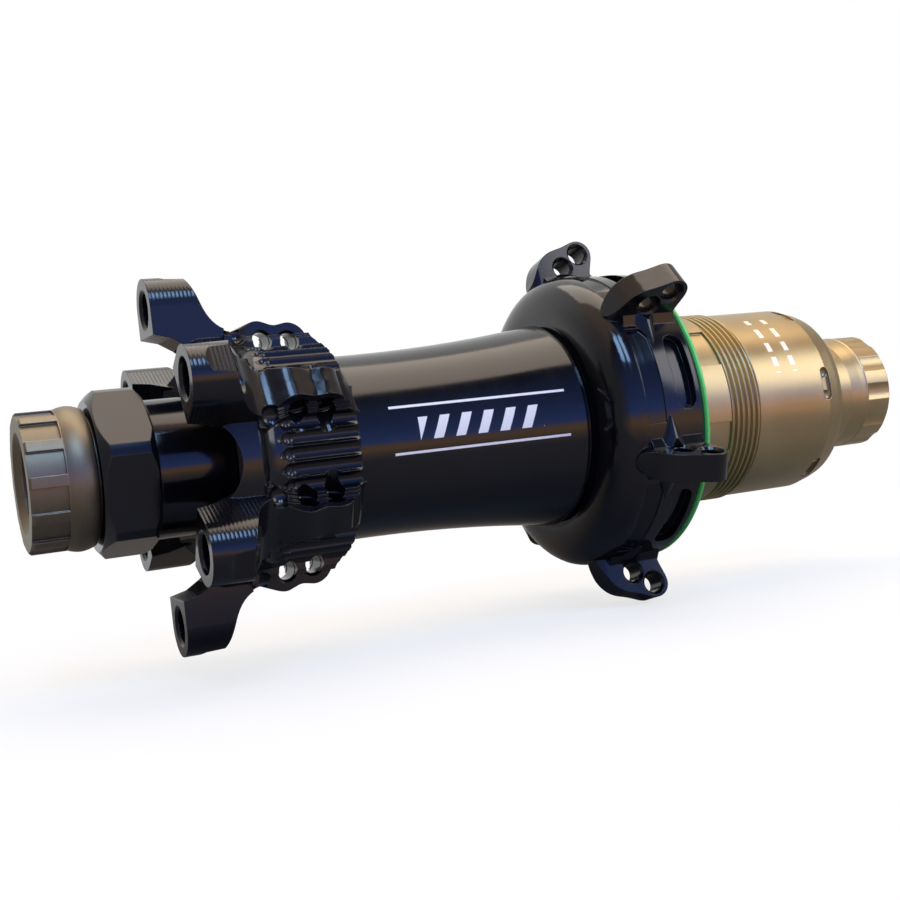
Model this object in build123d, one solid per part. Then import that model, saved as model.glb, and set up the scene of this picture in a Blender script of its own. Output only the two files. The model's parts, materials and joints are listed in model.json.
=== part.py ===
from build123d import *
import math
import os

# Rear straight-pull disc hub for a 12 mm thru-axle. The hub axis is Y: the disc side is +Y and the
# drive side is -Y. The origin is on the axis, midway between the two end faces. Lengths along the
# axis are given as stations, measured from the rotor face towards the drive side.

# Overall
OVERALL_WIDTH = 142.0
ROTOR_FACE_TO_END = 18.8
AXLE_BORE_RADIUS = 6.05
CAP_RADIUS = 9.5

# Rotor mount
ROTOR_BOLT_CIRCLE_RADIUS = 22.0
ROTOR_BOLT_RADIUS = 2.5
ARM_COUNT = 6
ARM_HALF_WIDTH = 4.35
ARM_INNER_RADIUS = 18.2
ARM_HOLE_DEPTH = 9.0

# Spoke holes
EAR_HOLES = ((15.4, 16.25), (19.4, 15.9))
EAR_HOLE_RADIUS = 1.4
EAR_HALF_THICKNESS = 2.15
TOWER_HOLES = ((69.2, 25.2), (72.45, 27.4))
TOWER_HOLE_RADIUS = 1.5
TOWER_HALF_THICKNESS = 2.05
TOWER_PHASE = 13.0
SPOKE_SINK = 0.4
# Steps milled down from an ear to the drum: how far out, and how high above the drum
EAR_STEPS = ((0.35, 0.9), (0.75, 0.55), (1.2, 0.25))

# Shell
DRUM_FRONT = 8.3
DRUM_END = 23.8
DRUM_RADIUS = 16.2
COLLAR_RADIUS = 17.7
GAP_PHASE = 30.0
GAP_SLOT_RADIUS = 6.0
GAP_SLOT_LEAN = 15.0
RIB_GROOVE_RADIUS = 1.1
RIB_GROOVE_COUNT = 5
RIB_GROOVE_PITCH = 7.4
RIB_START = 14.5
BARREL_BORE_RADIUS = 11.8
BARREL_END = 59.2
BARREL_END_RADIUS = 15.75
RIM_RADIUS = 22.8
RIM_END = 75.0
RIM_POCKET_PHASE = 45.0
RIM_POCKET_REACH = 14.5
RIM_CHANNEL_REACH = 18.5
CAVITY_RADIUS = 19.8
CAVITY_START = 63.2

# Bearings: bore radius, outer radius, width, ball radius, ball count
HUB_BEARING = (7.5, 14.0, 7.0, 1.98, 11)
DRIVER_BEARING = (7.5, 12.0, 5.0, 1.19, 16)
LEFT_BEARING_START = 9.5
RIGHT_BEARING_START = 55.5
DRIVER_INNER_START = 66.0
DRIVER_OUTER_START = 101.0
RACE_CLEARANCE = 0.04

# Axle and the sleeves on it
AXLE_INNER_RADIUS = AXLE_BORE_RADIUS
AXLE_RADIUS = 7.5
AXLE_SHOULDER_RADIUS = 8.6
AXLE_START = -12.0
AXLE_END = 116.0
O_RING_STATIONS = (-9.5, 113.0)
SLEEVE_RADIUS = 9.7
NUT_START = -9.8
NUT_END = -2.6
NUT_ACROSS_FLATS = 21.0
NUT_CORNER_RADIUS = 11.7
NUT_THREAD_RADIUS = 8.3
CAP_GRIP_END = -14.0
CAP_SLOT_WIDTH = 3.4
FLUTE_COUNT = 12
FLUTE_VALLEY_RADIUS = 9.05
FLUTE_CUTTER_RADIUS = 3.0
FLUTE_PHASE = 27.0
NUT_TURN = 15.4

# Ratchet
TOOTH_COUNT = 36
TOOTH_TIP_RADIUS = 17.4
TOOTH_ROOT_RADIUS = 18.4
TOOTH_PHASE = 9.1
RATCHET_START = 64.0
RATCHET_END = 73.0
PAWL_COUNT = 4
PAWL_PIVOT = (-2.2, 14.6)
PAWL_HEEL_RADIUS = 1.25
PAWL_START = 65.0
PAWL_END = 72.0
PAWL_SIDE_GAP = 0.15
PAWL_SWING = 12.0

# Driver
CARRIER_RADIUS = 16.8
CARRIER_START = 64.4
CARRIER_END = 73.6
SEAL_START = 75.15
SEAL_END = 76.0
SEAL_RADIUS = 22.7
DRIVER_NECK_RADIUS = 15.9
LAND_COUNT = 6
LAND_RADIUS = 15.5
LAND_END = 85.2
LAND_PHASE = -22.5
LAND_ANGLE = 34.0
THREAD_ROOT_RADIUS = 14.85
THREAD_CREST_RADIUS = 15.4
THREAD_START = LAND_END + 0.35
THREAD_PITCH = 0.98
THREAD_CRESTS = 6
THREAD_FLANK = 0.31
THREAD_FLAT = 0.08
DRIVER_RADIUS = 15.1
TAPER_START = 105.0
DRIVER_END = 108.6
DRIVER_END_RADIUS = 13.8
TOOL_NOTCH_PHASE = 36.5
NOTCH_REACH = 1.8

HALF_WIDTH = OVERALL_WIDTH / 2
ROTOR_FACE_Y = HALF_WIDTH - ROTOR_FACE_TO_END
LEFT_FACE = -ROTOR_FACE_TO_END
RIGHT_FACE = OVERALL_WIDTH - ROTOR_FACE_TO_END


def at_station(station):
    """The Y of a station."""
    return ROTOR_FACE_Y - station


def turned(points):
    """A solid of revolution about the hub axis from (station, radius) corners."""
    outline = Polyline(*[(radius, at_station(station)) for station, radius in points], close=True)
    return revolve(make_face(outline), Axis.Y)


def tube(start, end, outer, inner):
    return turned([(start, inner), (start, outer), (end, outer), (end, inner)])


def side_profile(points, half_thickness):
    """A plate in the plane through the axis and +Z, from (station, height) corners."""
    outline = Polyline(*[(at_station(station), height) for station, height in points], close=True)
    return extrude(Plane.YZ * make_face(outline), half_thickness, both=True)


def side_spline(points, corners, half_thickness):
    """A plate whose outer edge is a smooth curve, closed by straight runs over the corners."""
    curve = Spline(*[(at_station(station), height) for station, height in points])
    ends = [points[-1]] + corners + [points[0]]
    closing = Polyline(*[(at_station(station), height) for station, height in ends])
    return extrude(Plane.YZ * make_face(curve + closing), half_thickness, both=True)


def turn(shape, angle):
    """The shape turned about the hub axis, from +Z towards +X."""
    return Rot(0, angle, 0) * shape


def around(shape, count, phase=0.0):
    """Copies of the shape spaced evenly about the hub axis."""
    return [turn(shape, phase + 360.0 / count * index) for index in range(count)]


def axial_rod(x, z, radius, start, end):
    """A cylinder parallel to the hub axis between two stations."""
    middle = at_station((start + end) / 2)
    return Pos(x, middle, z) * Rot(90, 0, 0) * Cylinder(radius, end - start)


def tangent_rod(station, height, radius, length):
    """A cylinder along X, which is tangential at the top of the hub."""
    return Pos(0, at_station(station), height) * Rot(0, 90, 0) * Cylinder(radius, length)


# ---- hub shell ----

def shell_barrel():
    """Collar, ribbed drum, waisted barrel, domed flange and rim, as one turned body."""
    collar = Polyline(
        (12.6, at_station(DRUM_FRONT)),
        (13.7, at_station(DRUM_FRONT)),
        (14.4, at_station(7.4)),
        (16.6, at_station(4.2)),
        (17.3, at_station(4.6)),
        (COLLAR_RADIUS, at_station(6.0)),
        (COLLAR_RADIUS, at_station(9.3)),
        (COLLAR_RADIUS - 0.2, at_station(9.6)),
    )
    cove = ThreePointArc(
        (COLLAR_RADIUS - 0.2, at_station(9.6)),
        (16.5, at_station(10.9)),
        (DRUM_RADIUS, at_station(12.6)),
    )
    drum = Polyline(
        (DRUM_RADIUS, at_station(12.6)),
        (DRUM_RADIUS, at_station(DRUM_END - 0.5)),
        (DRUM_RADIUS - 0.5, at_station(DRUM_END)),
        (14.2, at_station(DRUM_END)),
        (13.5, at_station(DRUM_END + 0.7)),
    )
    waist = Spline(
        (13.5, at_station(DRUM_END + 0.7)),
        (13.6, at_station(34.0)),
        (14.55, at_station(49.4)),
        (BARREL_END_RADIUS, at_station(BARREL_END)),
    )
    groove = Polyline(
        (BARREL_END_RADIUS, at_station(BARREL_END)),
        (15.0, at_station(BARREL_END + 0.1)),
        (15.0, at_station(BARREL_END + 0.9)),
        (16.2, at_station(BARREL_END + 1.1)),
    )
    dome = Spline(
        (16.2, at_station(BARREL_END + 1.1)),
        (19.0, at_station(60.7)),
        (21.4, at_station(62.0)),
        (RIM_RADIUS, at_station(65.0)),
    )
    rim = Polyline(
        (RIM_RADIUS, at_station(65.0)),
        (RIM_RADIUS, at_station(RIM_END - 0.5)),
        (RIM_RADIUS - 0.4, at_station(RIM_END)),
        (CAVITY_RADIUS, at_station(RIM_END)),
        (CAVITY_RADIUS, at_station(CAVITY_START)),
        (HUB_BEARING[1], at_station(CAVITY_START)),
        (HUB_BEARING[1], at_station(RIGHT_BEARING_START)),
        (BARREL_BORE_RADIUS, at_station(RIGHT_BEARING_START)),
        (BARREL_BORE_RADIUS, at_station(LEFT_BEARING_START + HUB_BEARING[2])),
        (HUB_BEARING[1], at_station(LEFT_BEARING_START + HUB_BEARING[2])),
        (HUB_BEARING[1], at_station(LEFT_BEARING_START)),
        (12.6, at_station(LEFT_BEARING_START)),
        (12.6, at_station(DRUM_FRONT)),
    )
    return revolve(make_face(collar + cove + drum + waist + groove + dome + rim), Axis.Y)


def rotor_arm():
    """One rotor arm at +Z: a post with a round nose, curving down at the back to the collar."""
    front = Polyline(
        (at_station(2.4), 17.6),
        (at_station(0), ARM_INNER_RADIUS),
        (at_station(0), 26.35),
        (at_station(2.1), 26.35),
        (at_station(2.9), 25.95),
        (at_station(5.5), 25.8),
    )
    back = Spline(
        (at_station(5.5), 25.8),
        (at_station(6.5), 23.3),
        (at_station(8.0), 19.9),
        (at_station(9.2), 18.7),
        (at_station(11.0), 18.05),
    )
    under = Polyline(
        (at_station(11.0), 18.05),
        (at_station(11.0), 14.5),
        (at_station(7.4), 14.5),
        (at_station(2.4), 17.6),
    )
    post = extrude(Plane.YZ * make_face(front + back + under), ARM_HALF_WIDTH, both=True)
    nose = axial_rod(0, ROTOR_BOLT_CIRCLE_RADIUS, ARM_HALF_WIDTH, -1, 12)
    below = Pos(0, at_station(5.5), 16.0) * Box(2 * ARM_HALF_WIDTH, 13.0, 12.0)
    return post & (nose + below)


def gap_slot():
    """The U-shaped slot between two arms, at +Z, leaning towards the rotor as it rises."""
    centre = at_station(8.0 - GAP_SLOT_RADIUS)
    mouth = make_face(Polyline((-GAP_SLOT_RADIUS, centre), (-GAP_SLOT_RADIUS - 2.2, centre + 6),
                               (GAP_SLOT_RADIUS + 2.2, centre + 6), (GAP_SLOT_RADIUS, centre), close=True))
    plan = Pos(0, centre) * Circle(GAP_SLOT_RADIUS) + mouth
    lean = math.radians(GAP_SLOT_LEAN)
    return extrude(Pos(0, 0, 12.8) * plan, 8.5, dir=(0, math.sin(lean), math.cos(lean)))


def plan_flare(thin, wide, start, end):
    """A plate seen along its radius: thin from the start, flaring with an arc to wide at the end."""
    bend = (thin + 0.22 * (wide - thin), at_station((start + end) / 2))
    right = Polyline((thin, at_station(27)), (thin, at_station(start)))
    flare_right = ThreePointArc((thin, at_station(start)), bend, (wide, at_station(end)))
    back = Polyline((wide, at_station(end)), (wide, at_station(9)), (-wide, at_station(9)),
                    (-wide, at_station(end)))
    flare_left = ThreePointArc((-wide, at_station(end)), (-bend[0], bend[1]), (-thin, at_station(start)))
    left = Polyline((-thin, at_station(start)), (-thin, at_station(27)), (thin, at_station(27)))
    return extrude(Pos(0, 0, 12) * make_face(right + flare_right + back + flare_left + left), 10)


def spoke_ear():
    """One left-hand ear at +Z: a thin plate with two rounded tops, stepped down to the drum."""
    top = [(9.4, 18.0), (12.2, 18.3), (15.4, 19.25), (17.6, 18.55), (19.6, 18.8), (21.8, 17.6),
           (22.8, 15.6), (24.2, 13.9), (26.8, 13.3)]
    corners = [(26.8, 12.4), (17.0, 12.4), (17.0, 14.4), (9.4, 14.4)]
    plate = side_spline(top, corners, ARM_HALF_WIDTH)
    ear = plate & plan_flare(EAR_HALF_THICKNESS, ARM_HALF_WIDTH, 15.6, 10.4)
    for reach, rise in EAR_STEPS:
        low = DRUM_RADIUS + rise
        step = side_profile(
            [(9.4, 17.4), (11.0, low + 0.6), (13.4, low), (22.6, low), (23.3, DRUM_RADIUS - 0.3),
             (23.3, 15.0), (9.4, 15.0)],
            ARM_HALF_WIDTH + reach,
        )
        ear += step & plan_flare(EAR_HALF_THICKNESS + reach, ARM_HALF_WIDTH + reach, 15.6, 10.4)
    return ear


def ear_pocket(side):
    """A ball-ended cut beside an ear, where it meets the collar."""
    return Pos(side * 4.2, at_station(11.3), 17.6) * Sphere(1.65)


def spoke_tower():
    """One right-hand tower at +Z: a plate with a tapered back, on a chamfered foot over the rim."""
    outline = [(62.7, 21.9), (63.8, 23.8), (64.7, 25.7), (66.0, 27.3), (67.6, 28.2), (69.4, 28.7),
               (71.0, 29.3), (72.7, 29.7), (74.1, 29.2), (74.9, 27.9), (74.7, 26.2), (74.1, 24.4),
               (74.2, 22.4)]
    plate = side_spline(outline, [(74.2, 20.8), (63.4, 20.8)], TOWER_HALF_THICKNESS + 0.1)
    tower = plate & tower_plan()
    section = Polyline((-3.1, 20.8), (-3.1, 22.6), (-2.0, 23.8), (2.0, 23.8), (3.1, 22.6), (3.1, 20.8),
                       close=True)
    foot = Pos(0, at_station(69.7), 0) * extrude(Plane.XZ * make_face(section), 4.4, both=True)
    for side in (-1, 1):
        place = Pos(side * 4.1, at_station(68.9), RIM_RADIUS - 0.75) * Rot(0, side * 90, 0)
        foot += place * Cone(2.3, 0.1, 4.4)
    return tower + foot


def tower_plan():
    """The plan of a tower: parallel sides and a blunt rounded back."""
    half = TOWER_HALF_THICKNESS
    sides = Polyline((-half, at_station(64.6)), (-half, at_station(76)), (half, at_station(76)),
                     (half, at_station(64.6)))
    back = ThreePointArc((half, at_station(64.6)), (0, at_station(63.1)), (-half, at_station(64.6)))
    return extrude(Pos(0, 0, 19) * make_face(sides + back), 12)


def rim_pockets():
    """A round-ended slot and a sloping channel in the rim, between two towers at +Z."""
    reach = math.radians(RIM_POCKET_REACH)
    half_slot = RIM_RADIUS * math.sin(reach)
    slot = tube(70.5, 73.8, RIM_RADIUS + 1, RIM_RADIUS - 1.3)
    cutter = Pos(0, at_station(72.15), RIM_RADIUS) * SlotOverall(2 * half_slot, 3.3)
    slot = slot & extrude(Pos(0, 0, -5) * cutter, 10)
    channel = turned([(65.2, RIM_RADIUS - 0.95), (65.2, 24.5), (68.3, 24.5), (68.3, RIM_RADIUS - 0.25)])
    half_channel = RIM_RADIUS * math.sin(math.radians(RIM_CHANNEL_REACH))
    window = Pos(0, at_station(67), RIM_RADIUS) * Box(2 * half_channel, 10, 10)
    return [slot, channel & window]


def rib_grooves():
    """The milled grooves along the drum in the gap between two ears, stepped out at their left ends."""
    height = DRUM_RADIUS + 0.25
    groove = axial_rod(0, height, RIB_GROOVE_RADIUS, RIB_START, DRUM_END + 2)
    for index in range(4):
        groove += end_ball(height + 0.12 * index * (index + 1), RIB_GROOVE_RADIUS, RIB_START - 0.95 * index)
    first = 30 - RIB_GROOVE_PITCH * (RIB_GROOVE_COUNT - 1) / 2
    return [turn(groove, first + RIB_GROOVE_PITCH * index) for index in range(RIB_GROOVE_COUNT)]


def end_ball(height, radius, station):
    return Pos(0, at_station(station), height) * Sphere(radius)


def spoke_holes(holes, radius, half_thickness):
    """The two tangential spoke holes of an ear or tower at +Z, countersunk on both sides."""
    cutters = []
    for station, height in holes:
        hole = tangent_rod(station, height, radius, 14.0)
        for side in (-1, 1):
            sink = Rot(0, side * 90, 0) * Cone(radius, radius + SPOKE_SINK, SPOKE_SINK)
            hole += Pos(side * (half_thickness - SPOKE_SINK / 2), at_station(station), height) * sink
        cutters.append(hole)
    return cutters


def hub_shell():
    shell = shell_barrel()
    grooves = [copy for groove in rib_grooves() for copy in around(groove, ARM_COUNT)]
    shell = shell.cut(*grooves, *around(gap_slot(), ARM_COUNT, GAP_PHASE))
    shell = shell.fuse(*around(rotor_arm(), ARM_COUNT), *around(spoke_ear(), ARM_COUNT))
    shell = shell.cut(*around(ear_pocket(-1), ARM_COUNT), *around(ear_pocket(1), ARM_COUNT))
    pockets = [copy for pocket in rim_pockets() for copy in around(pocket, ARM_COUNT, RIM_POCKET_PHASE)]
    shell = shell.cut(*pockets)
    shell = shell.fuse(*around(spoke_tower(), ARM_COUNT, TOWER_PHASE))
    bolt_hole = axial_rod(0, ROTOR_BOLT_CIRCLE_RADIUS, ROTOR_BOLT_RADIUS, -1, ARM_HOLE_DEPTH)
    countersink = Pos(0, at_station(0), ROTOR_BOLT_CIRCLE_RADIUS) * Rot(-90, 0, 0) * Cone(
        ROTOR_BOLT_RADIUS, ROTOR_BOLT_RADIUS + 0.8, 0.8)
    cutters = around(bolt_hole + countersink, ARM_COUNT)
    for rod in spoke_holes(EAR_HOLES, EAR_HOLE_RADIUS, EAR_HALF_THICKNESS):
        cutters += around(rod, ARM_COUNT)
    for rod in spoke_holes(TOWER_HOLES, TOWER_HOLE_RADIUS, TOWER_HALF_THICKNESS):
        cutters += around(rod, ARM_COUNT, TOWER_PHASE)
    return shell.cut(*cutters)


# ---- bearings ----

def bearing_rings(start, bearing):
    """The outer ring, inner ring, balls, cage and pair of shields of one cartridge bearing."""
    bore, outside, width, ball, count = bearing
    middle = start + width / 2
    pitch = (bore + outside) / 2
    race = ball + RACE_CLEARANCE
    track = Pos(0, at_station(middle), 0) * Rot(90, 0, 0) * Torus(pitch, race)
    shoulder = 0.55 * ball
    outer = tube(start, start + width, outside, pitch + shoulder) - track
    inner = tube(start, start + width, pitch - shoulder, bore) - track
    balls = around(end_ball(pitch, ball, middle), count)
    cage = tube(middle - 1.2 * ball, middle + 1.2 * ball, pitch + 0.3 * ball, pitch - 0.3 * ball)
    for pocket in around(end_ball(pitch, ball + 0.06, middle), count):
        cage = cage - pocket
    lip = 0.12
    depth = 0.3
    shields = [tube(edge, edge + depth, pitch + shoulder, pitch - shoulder + lip)
               for edge in (start + 0.1, start + width - 0.1 - depth)]
    return {"outer_ring": outer, "inner_ring": inner, "balls": Compound(children=balls),
            "cage": cage, "shields": Compound(children=shields)}


# ---- axle group ----

def axle_tube():
    left = LEFT_BEARING_START + HUB_BEARING[2]
    axle = turned([
        (AXLE_START, AXLE_INNER_RADIUS), (AXLE_START, AXLE_RADIUS), (left, AXLE_RADIUS),
        (left, AXLE_SHOULDER_RADIUS), (left + 2.5, AXLE_SHOULDER_RADIUS), (left + 3.0, AXLE_RADIUS + 0.2),
        (RIGHT_BEARING_START - 3.0, AXLE_RADIUS + 0.2), (RIGHT_BEARING_START - 2.5, AXLE_SHOULDER_RADIUS),
        (RIGHT_BEARING_START, AXLE_SHOULDER_RADIUS), (RIGHT_BEARING_START, AXLE_RADIUS),
        (AXLE_END, AXLE_RADIUS), (AXLE_END, AXLE_INNER_RADIUS),
    ])
    return axle - o_ring_grooves()


def o_ring_grooves():
    inner = AXLE_RADIUS - 0.6
    return [tube(station - 0.6, station + 0.6, AXLE_RADIUS + 1, inner) for station in O_RING_STATIONS]


def grip_flutes(start, end):
    """Axial flutes between the lobes of the right end cap's grip."""
    flute = axial_rod(0, FLUTE_VALLEY_RADIUS + FLUTE_CUTTER_RADIUS, FLUTE_CUTTER_RADIUS, start, end)
    return around(flute, FLUTE_COUNT, FLUTE_PHASE)


def left_end_cap():
    bead = Spline((9.45, at_station(CAP_GRIP_END + 0.1)), (9.85, at_station(-12.1)), (9.3, at_station(-10.2)))
    rest = Polyline(*[(radius, at_station(station)) for station, radius in (
        (-10.2, 9.3), (-9.9, NUT_THREAD_RADIUS), (-3.2, NUT_THREAD_RADIUS), (-3.2, AXLE_RADIUS),
        (AXLE_START, AXLE_RADIUS), (AXLE_START, AXLE_BORE_RADIUS), (LEFT_FACE + 1.0, AXLE_BORE_RADIUS),
        (LEFT_FACE, 7.0), (LEFT_FACE, 9.2), (LEFT_FACE + 0.3, CAP_RADIUS), (CAP_GRIP_END, CAP_RADIUS),
        (CAP_GRIP_END + 0.1, 9.45))])
    body = revolve(make_face(bead + rest), Axis.Y)
    slots = tube(LEFT_FACE - 1, CAP_GRIP_END, CAP_RADIUS + 1, CAP_RADIUS - 0.45)
    window = Pos(0, at_station(-16.5), CAP_RADIUS) * Box(CAP_SLOT_WIDTH, 8, 4)
    return body.cut(*[slots & copy for copy in around(window, 12, 15)])


def right_end_cap():
    start = DRIVER_OUTER_START + DRIVER_BEARING[2]
    body = turned([
        (start, AXLE_RADIUS), (start, 8.6), (start + 0.9, 8.6), (start + 0.9, 11.3), (107.6, 11.3),
        (108.6, 10.6), (110.5, 9.6), (112.5, 9.1), (115.0, 9.0), (117.0, 9.3), (117.9, 9.4),
        (118.1, CAP_RADIUS), (RIGHT_FACE - 0.5, CAP_RADIUS), (RIGHT_FACE, 9.0), (RIGHT_FACE, 7.0),
        (RIGHT_FACE - 1.0, AXLE_BORE_RADIUS), (AXLE_END, AXLE_BORE_RADIUS), (AXLE_END, AXLE_RADIUS),
    ])
    return body.cut(*grip_flutes(118.2, RIGHT_FACE + 1))


def preload_nut():
    hexagon = RegularPolygon(NUT_ACROSS_FLATS / 2, 6, major_radius=False)
    prism = Pos(0, at_station((NUT_START + NUT_END) / 2), 0) * Rot(90, 0, 0) * extrude(
        hexagon, (NUT_END - NUT_START) / 2, both=True)
    turned_blank = turned([
        (NUT_START, 0), (NUT_START, 10.3), (NUT_START + 1.2, NUT_CORNER_RADIUS),
        (NUT_END - 0.8, NUT_CORNER_RADIUS), (NUT_END, 10.8), (NUT_END, 0),
    ])
    nut = turn(prism, NUT_TURN) & turned_blank
    return nut - tube(NUT_START - 1, NUT_END + 1, NUT_THREAD_RADIUS, 0)


def dust_sleeve():
    return turned([
        (NUT_END, AXLE_RADIUS), (NUT_END, SLEEVE_RADIUS - 0.4), (NUT_END + 0.4, SLEEVE_RADIUS),
        (DRUM_FRONT - 0.4, SLEEVE_RADIUS), (DRUM_FRONT + 0.9, 9.0), (LEFT_BEARING_START, 8.6),
        (LEFT_BEARING_START, AXLE_RADIUS),
    ])


def left_lip_seal():
    return turned([
        (DRUM_FRONT + 0.1, 12.6), (DRUM_FRONT + 0.1, 12.0), (DRUM_FRONT - 0.2, 10.4),
        (DRUM_FRONT + 0.2, 10.0), (DRUM_FRONT + 0.5, 10.4), (LEFT_BEARING_START - 0.3, 12.6),
    ])


def axle_spacers():
    """The hub-side spacer, and the long one between the two driver bearings."""
    hub_end = RIGHT_BEARING_START + HUB_BEARING[2]
    driver_end = DRIVER_INNER_START + DRIVER_BEARING[2]
    return {
        "hub_spacer": tube(hub_end, DRIVER_INNER_START, 8.6, AXLE_RADIUS),
        "driver_spacer": turned([
            (driver_end, AXLE_RADIUS), (driver_end, 8.6), (driver_end + 1.5, 8.6), (driver_end + 2.0, 8.1),
            (DRIVER_OUTER_START - 2.0, 8.1), (DRIVER_OUTER_START - 1.5, 8.6), (DRIVER_OUTER_START, 8.6),
            (DRIVER_OUTER_START, AXLE_RADIUS),
        ]),
    }


def o_rings():
    rings = [Pos(0, at_station(station), 0) * Rot(90, 0, 0) * Torus(AXLE_RADIUS - 0.3, 0.3)
             for station in O_RING_STATIONS]
    return Compound(children=rings)


# ---- ratchet ----

def ratchet_ring():
    """A ring with saw teeth inside; each tooth's steep face takes the push of a pawl."""
    pitch = 360.0 / TOOTH_COUNT
    corners = []
    for index in range(TOOTH_COUNT):
        steep = math.radians(TOOTH_PHASE + pitch * index)
        corners.append((TOOTH_ROOT_RADIUS * math.sin(steep), TOOTH_ROOT_RADIUS * math.cos(steep)))
        corners.append((TOOTH_TIP_RADIUS * math.sin(steep), TOOTH_TIP_RADIUS * math.cos(steep)))
    void = extrude(Plane.XZ * make_face(Polyline(*corners, close=True)), 60, both=True)
    return tube(RATCHET_START, RATCHET_END, CAVITY_RADIUS, 15.0) - void


def pawl_outline():
    """The pawl's side view at +Z: a round heel and a tapering arm."""
    x, z = PAWL_PIVOT
    heel = Pos(x, z) * Circle(PAWL_HEEL_RADIUS)
    arm = make_face(Polyline((x, z - PAWL_HEEL_RADIUS), (2.6, 14.9), (2.9, 15.2), (2.9, 16.8),
                             (x, z + PAWL_HEEL_RADIUS), close=True))
    return heel + arm


def pawl():
    length = PAWL_END - PAWL_START - 2 * PAWL_SIDE_GAP
    blank = extrude(Plane.XZ * pawl_outline(), length / 2, both=True)
    return Pos(0, at_station((PAWL_START + PAWL_END) / 2), 0) * blank


def pawl_pocket():
    """The pawl's socket in the carrier, open above so that the pawl can swing out."""
    x, z = PAWL_PIVOT
    socket = Pos(x, z) * Circle(PAWL_HEEL_RADIUS + 0.05)
    clearance = make_face(Polyline((x + 0.3, z - PAWL_HEEL_RADIUS - 0.6), (3.3, 14.1), (3.3, 20.0),
                                   (x - 1.3, 20.0), (x - 1.05, z + 0.75), (x + 0.3, z), close=True))
    cutter = extrude(Plane.XZ * (socket + clearance), (PAWL_END - PAWL_START) / 2, both=True)
    return Pos(0, at_station((PAWL_START + PAWL_END) / 2), 0) * cutter


def pawl_spring():
    """A leaf under the pawl, its foot let into the pocket floor."""
    leaf = make_face(Polyline((-0.6, 13.2), (2.7, 14.3), (2.7, 14.5), (-0.6, 13.4), close=True))
    return Pos(0, at_station((PAWL_START + PAWL_END) / 2), 0) * extrude(Plane.XZ * leaf, 2.4, both=True)


# ---- driver ----

def thread_profile():
    """Corners of the thread as plain rings, from the lands outwards."""
    corners = [(LAND_END, LAND_RADIUS), (LAND_END + 0.01, THREAD_ROOT_RADIUS)]
    for index in range(THREAD_CRESTS):
        crest = THREAD_START + THREAD_PITCH * index
        corners += [(crest - THREAD_FLANK, THREAD_ROOT_RADIUS), (crest - THREAD_FLAT, THREAD_CREST_RADIUS),
                    (crest + THREAD_FLAT, THREAD_CREST_RADIUS), (crest + THREAD_FLANK, THREAD_ROOT_RADIUS)]
    last = corners[-1][0]
    return corners + [(last + 0.25, THREAD_ROOT_RADIUS), (last + 0.4, DRIVER_RADIUS)]


def driver_body():
    inner_end = DRIVER_INNER_START + DRIVER_BEARING[2]
    outer_end = DRIVER_OUTER_START + DRIVER_BEARING[2]
    outside = [(CARRIER_START, 10.4), (CARRIER_START, CARRIER_RADIUS), (CARRIER_END, CARRIER_RADIUS),
               (CARRIER_END, DRIVER_NECK_RADIUS), (SEAL_END, DRIVER_NECK_RADIUS), (SEAL_END, LAND_RADIUS)]
    outside += thread_profile()
    outside += [(TAPER_START, DRIVER_RADIUS), (107.2, 14.5), (DRIVER_END - 0.3, 14.1),
                (DRIVER_END, DRIVER_END_RADIUS), (DRIVER_END, 12.4), (outer_end + 1.1, 12.4),
                (outer_end + 1.1, 12.9), (outer_end + 0.1, 12.9), (outer_end + 0.1, 12.0),
                (DRIVER_OUTER_START, 12.0), (DRIVER_OUTER_START, 11.2), (inner_end, 11.2),
                (inner_end, 12.0), (DRIVER_INNER_START, 12.0), (DRIVER_INNER_START, 10.4)]
    body = turned(outside)
    gap_ring = tube(SEAL_END + 0.4, LAND_END + 0.1, LAND_RADIUS + 1, DRIVER_RADIUS - 0.05)
    gaps = around(land_gap(), LAND_COUNT, LAND_PHASE + 180 / LAND_COUNT)
    body = body.cut(*[gap_ring & gap for gap in gaps])
    body = body.cut(*around(tool_notch(), 6, TOOL_NOTCH_PHASE))
    return body.cut(*around(pawl_pocket(), PAWL_COUNT))


def land_gap():
    """A wedge over the space between two splined lands, at +Z."""
    half = math.radians((360.0 / LAND_COUNT - LAND_ANGLE) / 2)
    reach = 24.0
    wedge = make_face(Polyline((0, 0), (reach * math.sin(half), reach * math.cos(half)),
                               (-reach * math.sin(half), reach * math.cos(half)), close=True))
    return extrude(Plane.XZ * wedge, 120, both=True)


def tool_notch():
    """A flat slot across the driver's end taper at +Z, with a dimple at each end."""
    notch = Pos(0, at_station(104.7), DRIVER_RADIUS + 0.35) * Box(2 * NOTCH_REACH, 1.7, 2.0)
    for side in (-1, 1):
        notch += Pos(side * NOTCH_REACH, at_station(104.7), DRIVER_RADIUS - 0.35) * Sphere(0.85)
    return notch


def driver_seal():
    """A thin bright wiper disc that closes the gap between shell and driver."""
    return turned([(SEAL_START, DRIVER_NECK_RADIUS), (SEAL_START, SEAL_RADIUS - 0.3),
                   (SEAL_START + 0.2, SEAL_RADIUS), (SEAL_END - 0.25, SEAL_RADIUS),
                   (SEAL_END, SEAL_RADIUS - 0.35), (SEAL_END, DRIVER_NECK_RADIUS)])


def bearing_circlip():
    """The split ring that keeps the outer driver bearing in."""
    start = DRIVER_OUTER_START + DRIVER_BEARING[2] + 0.1
    ring = tube(start, start + 0.9, 12.85, 11.75)
    return ring - Pos(0, at_station(start), -12.3) * Box(3.0, 4, 3)


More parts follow.
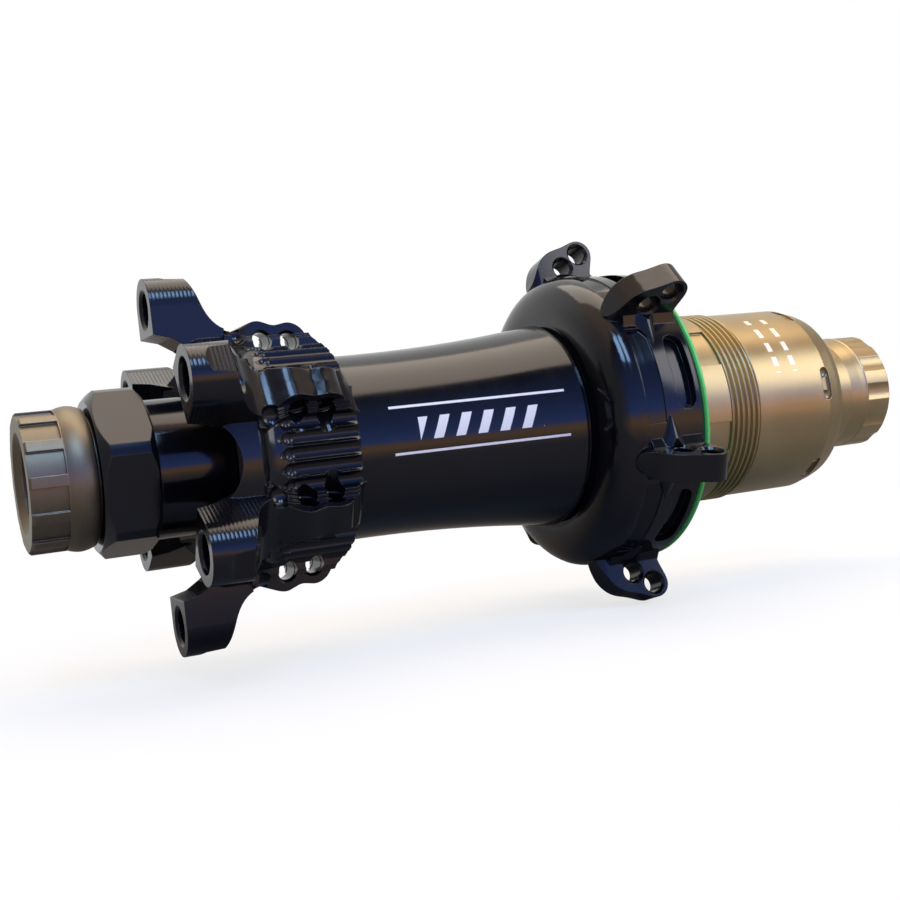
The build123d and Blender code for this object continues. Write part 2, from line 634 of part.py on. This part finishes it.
def all_parts():
    parts = {
        "hub_shell": hub_shell(),
        "axle_tube": axle_tube(),
        "left_end_cap": left_end_cap(),
        "right_end_cap": right_end_cap(),
        "preload_nut": preload_nut(),
        "dust_sleeve": dust_sleeve(),
        "left_lip_seal": left_lip_seal(),
        "cap_o_rings": o_rings(),
        "ratchet_ring": ratchet_ring(),
        "driver_body": driver_body(),
        "driver_seal": driver_seal(),
        "bearing_circlip": bearing_circlip(),
        "pawl_springs": Compound(children=around(pawl_spring(), PAWL_COUNT)),
    }
    parts.update(axle_spacers())
    for index, copy in enumerate(around(pawl(), PAWL_COUNT)):
        parts[f"pawl_{index + 1}"] = copy
    bearings = {
        "left_hub_bearing": (LEFT_BEARING_START, HUB_BEARING),
        "right_hub_bearing": (RIGHT_BEARING_START, HUB_BEARING),
        "inner_driver_bearing": (DRIVER_INNER_START, DRIVER_BEARING),
        "outer_driver_bearing": (DRIVER_OUTER_START, DRIVER_BEARING),
    }
    for name, (start, bearing) in bearings.items():
        for piece, shape in bearing_rings(start, bearing).items():
            parts[f"{name}_{piece}"] = shape
    return parts


os.makedirs("parts", exist_ok=True)
for part_name, part_shape in all_parts().items():
    export_step(part_shape, f"parts/{part_name}.step")
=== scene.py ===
import json
import math

import bpy
from mathutils import Matrix, Vector


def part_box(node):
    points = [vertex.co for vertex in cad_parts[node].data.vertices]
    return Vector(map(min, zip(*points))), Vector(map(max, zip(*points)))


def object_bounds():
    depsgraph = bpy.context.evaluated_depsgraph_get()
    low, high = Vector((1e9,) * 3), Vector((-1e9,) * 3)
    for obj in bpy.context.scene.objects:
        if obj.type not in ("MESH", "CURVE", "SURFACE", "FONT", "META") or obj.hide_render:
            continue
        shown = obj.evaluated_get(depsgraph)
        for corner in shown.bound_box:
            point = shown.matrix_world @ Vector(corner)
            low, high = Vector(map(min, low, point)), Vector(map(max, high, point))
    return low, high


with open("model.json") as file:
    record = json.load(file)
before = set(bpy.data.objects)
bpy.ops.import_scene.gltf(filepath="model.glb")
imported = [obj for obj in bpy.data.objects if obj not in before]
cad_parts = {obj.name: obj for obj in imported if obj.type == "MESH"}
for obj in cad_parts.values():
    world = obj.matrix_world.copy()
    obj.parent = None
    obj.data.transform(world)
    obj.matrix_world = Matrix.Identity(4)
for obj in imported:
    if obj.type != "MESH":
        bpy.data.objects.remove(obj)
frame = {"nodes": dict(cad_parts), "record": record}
cad_low, cad_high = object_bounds()

MM = 0.001

# The camera stands on the -X side, a little towards the disc end.
CAMERA_PLACE = Vector((-181.2, 90.7, 1.03)) * MM
CAMERA_TARGET = Vector((0.0, 8.3, -2.126)) * MM
CAMERA_ROLL = math.radians(6.36)
CAMERA_LENS = 52.25
SENSOR_WIDTH = 36.0
CLIP_START = 0.005

# Places along the hub where a finish changes. A node's box is its lowest and highest corners.
ROTOR_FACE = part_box("hub_shell")[1][1]
DRIVER_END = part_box("driver_body")[0][1]
ARM_BACK = ROTOR_FACE - 9 * MM
COLLAR_RADIUS = 17.8 * MM

# The print on the barrel: two pinstripes, with slanted bars between them.
PRINT_START = ROTOR_FACE - 56.5 * MM
PRINT_END = ROTOR_FACE - 29.5 * MM
PRINT_MIDDLE = 1.6 * MM
PRINT_FRONT = 5 * MM
PRINT_SOFT = 0.06 * MM
PINSTRIPE_INNER = 3.1 * MM
PINSTRIPE_OUTER = 3.45 * MM
BAR_SLANT = 0.45
BAR_HALF_PITCH = 1.7 * MM
BAR_GAP = 0.95 * MM
BAR_REACH = 1.6 * MM
BAR_INSET = 4 * MM

# The etched dashes on the driver.
DASH_START = DRIVER_END + 8.0 * MM
DASH_LENGTH = 6.4 * MM
DASH_LOW = 4.2 * MM
DASH_HIGH = 13.2 * MM
DASH_FRONT = 3 * MM
DASH_RADIUS = 14.8 * MM
DASH_SOFT = 0.05 * MM
ROW_HALF_PITCH = 1.6 * MM
ROW_GAP = 1.15 * MM
DASH_HALF_PITCH = 1.2 * MM
DASH_GAP = 0.45 * MM

# The floor is whole up to the first distance from the hub and gone at the second.
FLOOR_SIZE = 4
FLOOR_FADE = (0.08, 0.26)
FLOOR_GLOW = 0.72

# The room's colour towards both ends of the hub.
ROOM_ENDS = (0.30, 0.30, 0.32, 1.0)


class Tree:
    """A node tree that is built one node at a time."""

    def __init__(self, tree):
        self.tree = tree

    def node(self, kind, inputs=None, **settings):
        """A new node. inputs holds plain values or other nodes' outputs, by socket name or number."""
        made = self.tree.nodes.new("ShaderNode" + kind)
        for key, value in settings.items():
            setattr(made, key, value)
        self.feed(made, inputs or {})
        return made

    def feed(self, node, inputs):
        for key, value in inputs.items():
            socket = node.inputs[key]
            if isinstance(value, bpy.types.NodeSocket):
                self.tree.links.new(value, socket)
            else:
                socket.default_value = value


class Shader(Tree):
    """A material with one Principled surface."""

    def __init__(self, name):
        self.material = bpy.data.materials.new(name)
        self.material.use_nodes = True
        super().__init__(self.material.node_tree)
        self.surface = self.tree.nodes["Principled BSDF"]

    def place(self):
        """Where a point is in the object's own frame, in metres."""
        return self.node("TexCoord").outputs["Object"]

    def maths(self, operation, first, second=0.0):
        return self.node("Math", {0: first, 1: second}, operation=operation).outputs[0]

    def product(self, *factors):
        result = factors[0]
        for factor in factors[1:]:
            result = self.maths("MULTIPLY", result, factor)
        return result

    def noise(self, scale, detail=3.0, roughness=0.6, place=None):
        inputs = {"Vector": place or self.place(), "Scale": scale, "Detail": detail, "Roughness": roughness}
        return self.node("TexNoise", inputs).outputs["Fac"]

    def spread(self, value, low, high, start=0.3, end=0.7):
        """Maps a value from start..end to low..high, clamped."""
        inputs = {"Value": value, "From Min": start, "From Max": end, "To Min": low, "To Max": high}
        return self.node("MapRange", inputs).outputs[0]

    def step(self, value, edge, soft):
        """0 below the edge and 1 above it, softened over a short width."""
        return self.spread(value, 0.0, 1.0, edge - soft / 2, edge + soft / 2)

    def band(self, value, low, high, soft):
        """1 between low and high, and 0 outside them."""
        return self.maths("SUBTRACT", self.step(value, low, soft), self.step(value, high, soft))

    def blend(self, share, first, second):
        made = self.node("Mix", data_type="RGBA")
        self.feed(made, {0: share, 6: first, 7: second})
        return made.outputs[2]

    def mix(self, share, first, second):
        made = self.node("Mix", data_type="FLOAT")
        self.feed(made, {0: share, 2: first, 3: second})
        return made.outputs[0]

    def axes(self):
        """The X, Y and Z of a point."""
        return tuple(self.node("SeparateXYZ", {0: self.place()}).outputs)

    def length(self, first, second):
        """The length of two distances at right angles; of X and Z, that is the radius from the hub axis."""
        return self.maths("SQRT", self.maths("ADD", self.product(first, first), self.product(second, second)))

    def turning(self, pitch):
        """Uneven rings such as a lathe tool leaves, from a noise read only along the axis and radius."""
        x, y, z = self.axes()
        ringed = self.node("CombineXYZ", {0: self.length(x, z), 1: y}).outputs[0]
        return self.noise(1.0 / pitch, 2.0, 0.7, ringed)

    def scallops(self, coordinate, pitch):
        """Even ridges such as a ball cutter leaves at each step."""
        wave = self.maths("SINE", self.maths("MULTIPLY", coordinate, 2 * math.pi / pitch))
        return self.maths("ABSOLUTE", wave)

    def rounded(self, radius):
        """The normal with edges softened, and how near an edge is."""
        bevel = self.node("Bevel", {"Radius": radius}, samples=4).outputs[0]
        flat = self.node("NewGeometry").outputs["Normal"]
        match = self.node("VectorMath", {0: bevel, 1: flat}, operation="DOT_PRODUCT").outputs["Value"]
        return bevel, self.spread(match, 1.0, 0.0, 0.80, 0.995)

    def bump(self, height, distance, strength, normal):
        inputs = {"Height": height, "Distance": distance, "Strength": strength, "Normal": normal}
        return self.node("Bump", inputs).outputs[0]

    def finish(self, **sockets):
        """Feeds the surface, with underscores in the names standing for spaces."""
        self.feed(self.surface, {name.replace("_", " "): value for name, value in sockets.items()})
        return self.material


def grey(value):
    return (value, value, value, 1.0)


def printed_band(shader):
    """The mask of the print on the barrel's front: two pinstripes with slanted bars between them."""
    x, y, z = shader.axes()
    front = shader.step(shader.maths("MULTIPLY", x, -1.0), PRINT_FRONT, 0.1 * MM)
    ends = shader.band(y, PRINT_START, PRINT_END, PRINT_SOFT)
    level = shader.maths("SUBTRACT", z, PRINT_MIDDLE)
    upper = shader.band(level, PINSTRIPE_INNER, PINSTRIPE_OUTER, PRINT_SOFT)
    lower = shader.band(level, -PINSTRIPE_OUTER, -PINSTRIPE_INNER, PRINT_SOFT)
    slanted = shader.maths("ADD", y, shader.maths("MULTIPLY", level, BAR_SLANT))
    bar = shader.maths("PINGPONG", slanted, BAR_HALF_PITCH)
    bars = shader.maths("MULTIPLY", shader.step(bar, BAR_GAP, PRINT_SOFT),
                        shader.band(level, -BAR_REACH, BAR_REACH, PRINT_SOFT))
    inner = shader.band(y, PRINT_START + BAR_INSET, PRINT_END - BAR_INSET, PRINT_SOFT)
    lines = shader.maths("MULTIPLY", shader.maths("ADD", upper, lower), ends)
    return shader.product(front, shader.maths("ADD", lines, shader.maths("MULTIPLY", bars, inner)))


def black_anodised():
    """Gloss black anodised aluminium: lathe rings, cutter steps on the arms, painted highlights on the edges.
    """
    shader = Shader("black_anodised")
    x, y, z = shader.axes()
    rings = shader.turning(0.35 * MM)
    arms = shader.maths("MULTIPLY", shader.step(y, ARM_BACK, 2 * MM),
                        shader.step(shader.length(x, z), COLLAR_RADIUS, 1 * MM))
    steps = shader.scallops(y, 1.1 * MM)
    grain = shader.noise(9000.0, 2.0, 0.5)
    smudge = shader.noise(60.0, 4.0, 0.65)
    bevel, edge = shader.rounded(0.22 * MM)
    height = shader.maths("ADD", shader.maths("MULTIPLY", rings, 0.5),
                          shader.product(steps, arms, 2.6))
    normal = shader.bump(height, 0.006 * MM, 0.6, bevel)
    normal = shader.bump(grain, 0.0012 * MM, 0.5, normal)
    edge = shader.maths("MULTIPLY", edge, shader.spread(shader.noise(420.0), 0.25, 1.0))
    colour = shader.blend(shader.spread(smudge, 0.0, 1.0),
                          (0.0022, 0.0023, 0.0032, 1), (0.0045, 0.0048, 0.0065, 1))
    # Painted highlight: the colour is lightened near edges, standing in for light caught on the rounded
    # edges.
    colour = shader.blend(shader.maths("MULTIPLY", edge, 0.5), colour, (0.035, 0.036, 0.042, 1))
    mark = printed_band(shader)
    colour = shader.blend(mark, colour, (0.84, 0.79, 0.72, 1))
    rough = shader.maths("ADD", shader.spread(smudge, 0.09, 0.15), shader.spread(rings, -0.01, 0.03))
    rough = shader.maths("ADD", rough, shader.maths("MULTIPLY", arms, 0.06))
    rough = shader.mix(mark, shader.mix(edge, rough, 0.32), 0.42)
    shader.surface.inputs["Specular IOR Level"].default_value = 0.44
    return shader.finish(Base_Color=colour, Roughness=rough, Normal=normal)


def driver_marks(shader):
    """The mask of the etched dashes, on the upper front of the driver's smooth cylinder."""
    x, y, z = shader.axes()
    rows = shader.band(y, DASH_START, DASH_START + DASH_LENGTH, DASH_SOFT)
    row = shader.maths("PINGPONG", shader.maths("SUBTRACT", y, DASH_START), ROW_HALF_PITCH)
    row = shader.step(row, ROW_GAP, 0.06 * MM)
    dash = shader.step(shader.maths("PINGPONG", z, DASH_HALF_PITCH), DASH_GAP, DASH_SOFT)
    side = shader.band(z, DASH_LOW, DASH_HIGH, DASH_SOFT)
    front = shader.step(shader.maths("MULTIPLY", x, -1.0), DASH_FRONT, 0.1 * MM)
    outside = shader.step(shader.length(x, z), DASH_RADIUS, 0.1 * MM)
    return shader.product(rows, row, dash, side, front, outside)


def satin_bronze(name, dark, light, edge_highlight, marks, roughness):
    """Satin anodised aluminium in a bronze shade: fine turning, blasted grain and painted highlights on the
    edges.
    """
    shader = Shader(name)
    rings = shader.turning(0.22 * MM)
    grain = shader.noise(7000.0, 2.0, 0.55)
    cloud = shader.noise(90.0, 4.0, 0.6)
    bevel, edge = shader.rounded(0.2 * MM)
    edge = shader.maths("MULTIPLY", edge, shader.spread(shader.noise(500.0), 0.3, 1.0))
    normal = shader.bump(rings, 0.004 * MM, 0.7, bevel)
    normal = shader.bump(grain, 0.002 * MM, 0.8, normal)
    share = shader.maths("ADD", shader.spread(cloud, 0.0, 0.75), shader.spread(rings, 0.0, 0.25))
    colour = shader.blend(share, dark, light)
    # Painted highlight: the colour is lightened near edges, standing in for light caught on the rounded
    # edges.
    colour = shader.blend(shader.maths("MULTIPLY", edge, 0.7), colour, edge_highlight)
    rough = shader.maths("ADD", shader.spread(cloud, roughness - 0.04, roughness + 0.04),
                         shader.spread(grain, -0.03, 0.04))
    rough = shader.mix(edge, rough, 0.28)
    if marks:
        mark = driver_marks(shader)
        colour = shader.blend(shader.maths("MULTIPLY", mark, 0.85), colour, (0.86, 0.83, 0.76, 1))
        rough = shader.mix(mark, rough, 0.5)
    shader.surface.inputs["Metallic"].default_value = 1.0
    return shader.finish(Base_Color=colour, Roughness=rough, Normal=normal)


def bronze_anodised():
    # The third colour is the painted highlight on the edges.
    return satin_bronze("bronze_anodised", (0.37, 0.285, 0.150, 1), (0.45, 0.350, 0.195, 1),
                        (0.62, 0.51, 0.33, 1), True, 0.36)


def grey_bronze_anodised():
    return satin_bronze("grey_bronze_anodised", (0.165, 0.135, 0.090, 1), (0.215, 0.180, 0.122, 1),
                        (0.40, 0.35, 0.27, 1), False, 0.46)


def moulded(name, dark, light, low, high, grain_scale):
    """Rubber or nylon: a matt moulded skin with slight clouding, a fine grain and painted highlights on the
    edges.
    """
    shader = Shader(name)
    cloud = shader.noise(160.0, 4.0, 0.6)
    grain = shader.noise(grain_scale, 3.0, 0.6)
    bevel, edge = shader.rounded(0.12 * MM)
    colour = shader.blend(shader.spread(cloud, 0.0, 1.0), dark, light)
    # Painted highlight: the colour is lightened near edges, standing in for light caught on the rounded
    # edges.
    colour = shader.blend(shader.maths("MULTIPLY", edge, 0.3), colour, light)
    rough = shader.maths("ADD", shader.spread(cloud, low, high), shader.spread(grain, -0.04, 0.05))
    normal = shader.bump(grain, 0.006 * MM, 0.7, bevel)
    return shader.finish(Base_Color=colour, Roughness=rough, Normal=normal)


def steel(name, dark, light, low, high, pitch, stain):
    """Ground or hardened steel, or clear aluminium: fine rings, faint stains, painted highlights on the
    edges.
    """
    shader = Shader(name)
    rings = shader.turning(pitch)
    cloud = shader.noise(stain, 5.0, 0.65)
    bevel, edge = shader.rounded(0.12 * MM)
    colour = shader.blend(shader.spread(cloud, 0.0, 1.0), dark, light)
    # Painted highlight: the colour is lightened near edges, standing in for light caught on the rounded
    # edges.
    colour = shader.blend(shader.maths("MULTIPLY", edge, 0.6), colour, (0.78, 0.78, 0.80, 1))
    rough = shader.maths("ADD", shader.spread(cloud, low, high), shader.spread(rings, -0.03, 0.05))
    normal = shader.bump(rings, 0.003 * MM, 0.6, bevel)
    shader.surface.inputs["Metallic"].default_value = 1.0
    return shader.finish(Base_Color=colour, Roughness=rough, Normal=normal)


MATERIALS = {
    "black_anodised": black_anodised(),
    "bronze_anodised": bronze_anodised(),
    "grey_bronze_anodised": grey_bronze_anodised(),
    "green_seal": moulded("green_seal", (0.075, 0.50, 0.085, 1), (0.14, 0.66, 0.15, 1), 0.36, 0.48, 5000.0),
    "black_rubber": moulded("black_rubber", (0.012, 0.012, 0.012, 1), (0.030, 0.030, 0.030, 1), 0.52, 0.68,
                            4000.0),
    "bearing_steel": steel("bearing_steel", (0.55, 0.55, 0.57, 1), (0.64, 0.64, 0.66, 1), 0.16, 0.26,
                           0.12 * MM, 120.0),
    "hardened_steel": steel("hardened_steel", (0.20, 0.20, 0.215, 1), (0.36, 0.355, 0.36, 1), 0.30, 0.44,
                            0.2 * MM, 300.0),
    "axle_aluminium": steel("axle_aluminium", (0.60, 0.61, 0.62, 1), (0.70, 0.70, 0.71, 1), 0.26, 0.36,
                            0.25 * MM, 80.0),
    "cage_plastic": moulded("cage_plastic", (0.42, 0.30, 0.13, 1), (0.55, 0.42, 0.21, 1), 0.42, 0.55, 3500.0),
}


def dress_nodes():
    """Gives each CAD node the material of its slot."""
    for part in frame["record"]["subparts"]:
        node = frame["nodes"][part["node"]]
        node.data.materials.clear()
        node.data.materials.append(MATERIALS[part["material_slot"]])


def floor_material():
    """Pale matt paper, lit evenly for the camera, that fades into the white backdrop away from the hub."""
    shader = Shader("floor")
    cloud = shader.noise(6.0, 3.0, 0.5)
    x, y = shader.axes()[:2]
    seen = shader.node("LightPath").outputs["Is Camera Ray"]
    colour = shader.blend(shader.spread(cloud, 0.0, 1.0), grey(0.20), grey(0.22))
    shader.feed(shader.surface, {"Base Color": colour, "Roughness": 0.85, "Specular IOR Level": 0.1,
                                 "Emission Color": grey(1.0),
                                 "Emission Strength": shader.maths("MULTIPLY", seen, FLOOR_GLOW),
                                 "Alpha": shader.spread(shader.length(x, y), 1.0, 0.0, *FLOOR_FADE)})
    return shader.material


def add_floor():
    bpy.ops.mesh.primitive_plane_add(size=FLOOR_SIZE, location=(0, 0, cad_low.z))
    floor = bpy.context.object
    floor.name = "floor"
    floor.data.materials.append(floor_material())


def add_light(name, place, target, size, power, colour):
    data = bpy.data.lights.new(name, "AREA")
    data.shape = "RECTANGLE"
    data.size, data.size_y = size
    data.energy = power
    data.color = colour
    light = bpy.data.objects.new(name, data)
    light.location = place
    light.rotation_euler = (Vector(target) - Vector(place)).to_track_quat("-Z", "Y").to_euler()
    bpy.context.scene.collection.objects.link(light)


def add_lights():
    cool = (0.36, 0.60, 1.0)
    warm = (1.0, 0.90, 0.78)
    white = (1.0, 0.98, 0.95)
    add_light("left_pane", (-0.33, 0.13, 0.42), (0, 0, 0), (0.10, 0.20), 0.95, cool)
    add_light("right_pane", (-0.37, -0.03, 0.42), (0, 0, 0), (0.10, 0.20), 0.95, cool)
    add_light("ceiling", (0.10, -0.10, 0.60), (0, 0, 0), (0.80, 0.40), 2.6, warm)
    add_light("side", (-0.36, -0.44, 0.26), (0, -0.03, 0), (0.30, 0.30), 1.1, white)


# What the hub reflects, by turn about the hub axis from the camera's side upwards, in degrees.
ROOM = (
    (-180, (0.85, 0.86, 0.88)),
    (-125, (0.75, 0.75, 0.76)),
    (-70, (0.24, 0.24, 0.26)),
    (-20, (0.20, 0.20, 0.22)),
    (-17, (1.70, 0.98, 0.45)),
    (-2, (1.45, 0.85, 0.42)),
    (1, (0.34, 0.62, 1.95)),
    (22, (0.20, 0.34, 1.05)),
    (58, (0.05, 0.06, 0.09)),
    (64, (0.06, 0.06, 0.07)),
    (68, (0.95, 0.64, 0.44)),
    (108, (1.05, 0.78, 0.58)),
    (122, (1.00, 0.98, 0.95)),
    (180, (0.85, 0.86, 0.88)),
)


def add_world():
    """White behind the hub; in what the hub reflects, a dim room with a brown and a blue band."""
    world = bpy.data.worlds.new("studio")
    bpy.context.scene.world = world
    world.use_nodes = True
    tree = Tree(world.node_tree)
    tree.tree.nodes.clear()
    direction = tree.node("TexCoord").outputs["Generated"]
    x, y, z = tree.node("SeparateXYZ", {0: direction}).outputs
    front = tree.node("Math", {0: x, 1: -1.0}, operation="MULTIPLY").outputs[0]
    angle = tree.node("Math", {0: z, 1: front}, operation="ARCTAN2").outputs[0]
    share = tree.node("MapRange", {"Value": angle, "From Min": -math.pi, "From Max": math.pi}).outputs[0]
    ramp = tree.node("ValToRGB", {0: share})
    stops = ramp.color_ramp.elements
    stops.remove(stops[0])
    for index, (degrees, colour) in enumerate(ROOM):
        position = (degrees + 180) / 360
        stop = stops[0] if index == 0 else stops.new(position)
        stop.position = position
        stop.color = (*colour, 1.0)
    sideways = tree.node("Math", {0: y}, operation="ABSOLUTE").outputs[0]
    ends = tree.node("MapRange", {"Value": sideways, "From Min": 0.55, "From Max": 0.95}).outputs[0]
    mixed = tree.node("Mix", data_type="RGBA")
    tree.feed(mixed, {0: ends, 6: ramp.outputs[0], 7: ROOM_ENDS})
    room = tree.node("Background", {"Color": mixed.outputs[2]})
    backdrop = tree.node("Background", {"Color": grey(1.0)})
    seen = tree.node("LightPath").outputs["Is Camera Ray"]
    choice = tree.node("MixShader", {0: seen, 1: room.outputs[0], 2: backdrop.outputs[0]})
    tree.node("OutputWorld", {0: choice.outputs[0]})


def add_camera():
    forward = (CAMERA_TARGET - CAMERA_PLACE).normalized()
    level_right = forward.cross(Vector((0, 0, 1))).normalized()
    level_up = level_right.cross(forward)
    up = math.cos(CAMERA_ROLL) * level_up + math.sin(CAMERA_ROLL) * level_right
    right = forward.cross(up)
    data = bpy.data.cameras.new("camera")
    data.lens = CAMERA_LENS
    data.sensor_width = SENSOR_WIDTH
    data.clip_start = CLIP_START
    camera = bpy.data.objects.new("camera", data)
    turn = Matrix((right, up, -forward)).transposed()
    camera.matrix_world = Matrix.Translation(CAMERA_PLACE) @ turn.to_4x4()
    bpy.context.scene.collection.objects.link(camera)
    bpy.context.scene.camera = camera


dress_nodes()
add_floor()
add_world()
add_lights()
add_camera()
bpy.context.scene.view_settings.view_transform = "Standard"

bpy.context.view_layer.update()
